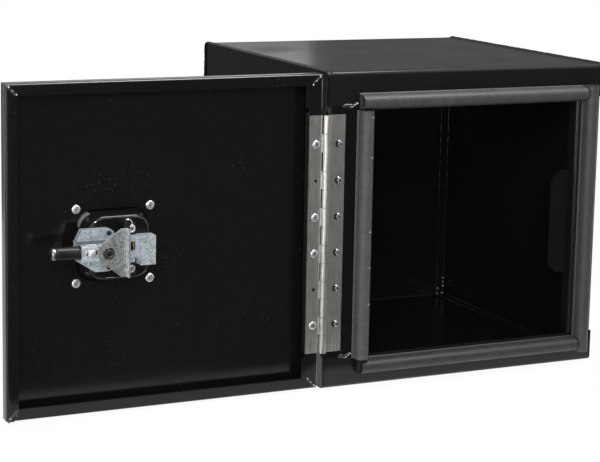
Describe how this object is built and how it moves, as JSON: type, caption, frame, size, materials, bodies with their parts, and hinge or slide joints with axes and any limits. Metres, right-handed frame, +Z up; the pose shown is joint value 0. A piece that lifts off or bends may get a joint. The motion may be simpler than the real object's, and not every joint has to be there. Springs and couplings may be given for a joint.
{
  "type": "truck tool box",
  "caption": "Cube-shaped underbody truck tool box of folded black steel with a side-hung door, continuous hinge, bulb seals and a paddle slam latch.",
  "frame": {"origin": "centre of the box's bottom face", "axes": "+X to the right along the front, +Y from the front to the back, +Z up; the door stands open at rest"},
  "size_m": [0.9212, 0.5121, 0.4572],
  "materials": {
    "black_powder_coat": "glossy black powder coat on steel sheet",
    "seal_rubber": "satin black extruded rubber",
    "stainless_steel": "mill finish stainless steel",
    "rivet_steel": "bare steel rivets",
    "zinc_plate": "bright zinc plated steel",
    "black_plastic": "moulded black plastic",
    "brass": "turned and stamped brass"
  },
  "bodies": {
    "box": {"box_wrapper": "black_powder_coat", "left_end_plate": "black_powder_coat", "right_end_plate": "black_powder_coat", "strike_bracket": "black_powder_coat", "top_seal": "seal_rubber", "bottom_seal": "seal_rubber", "left_seal": "seal_rubber", "right_seal": "seal_rubber", "hinge_leaf_box": "stainless_steel", "hinge_pin": "stainless_steel", "box_hinge_rivet_1": "rivet_steel", "box_hinge_rivet_2": "rivet_steel", "box_hinge_rivet_3": "rivet_steel", "box_hinge_rivet_4": "rivet_steel", "box_hinge_rivet_5": "rivet_steel", "box_hinge_rivet_6": "rivet_steel"},
    "door": {"hinge_leaf_door": "stainless_steel", "door_hinge_rivet_1": "rivet_steel", "door_hinge_rivet_3": "rivet_steel", "door_hinge_rivet_4": "rivet_steel", "door_hinge_rivet_6": "rivet_steel", "door_panel": "black_powder_coat", "latch_pan": "black_powder_coat", "pan_gasket": "seal_rubber", "pan_rivet_1": "rivet_steel", "pan_rivet_2": "rivet_steel", "pan_rivet_3": "rivet_steel", "pan_rivet_4": "rivet_steel", "bolt_housing": "zinc_plate", "housing_rivet_1": "rivet_steel", "housing_rivet_2": "rivet_steel", "keeper_bracket": "zinc_plate", "keeper_rivet_1": "rivet_steel", "keeper_rivet_2": "rivet_steel", "paddle_pin": "zinc_plate", "paddle_spring": "zinc_plate", "lock_cylinder": "zinc_plate", "lock_nut": "zinc_plate"},
    "bolt": {"bolt_core": "zinc_plate", "bolt_sleeve": "black_plastic", "pull_plate": "zinc_plate", "pull_stud": "zinc_plate", "pull_nut": "zinc_plate"},
    "paddle": {"paddle_handle": "black_powder_coat"},
    "lock": {"lock_plug": "brass", "lock_cam": "brass"}
  },
  "joints": [
    {"name": "door_hinge", "type": "hinge", "parent": "box", "child": "door", "pos_m": [-0.2322, -0.23425, 0.22625], "axis": [0, 0, 1], "range_deg": [-15, 180], "deforming": ["right_seal", "bottom_seal"]},
    {"name": "paddle_pivot", "type": "hinge", "parent": "door", "child": "paddle", "pos_m": [-0.5666, -0.2186, 0.233], "axis": [0, 0, 1], "range_deg": [0, 40], "stiffness_Nm_per_rad": 0.4, "springref_deg": -20.05},
    {"name": "bolt_slide", "type": "slide", "parent": "door", "child": "bolt", "axis": [1, 0, 0], "range_m": [0, 0.0274]},
    {"name": "key_turn", "type": "hinge", "parent": "door", "child": "lock", "pos_m": [-0.5327, -0.2486, 0.2649], "axis": [0, 1, 0], "range_deg": [0, 90]}
  ],
  "couplings": [
    {"joint": "bolt_slide", "follows": "paddle_pivot", "m_per_rad": 0.039193}
  ]
}
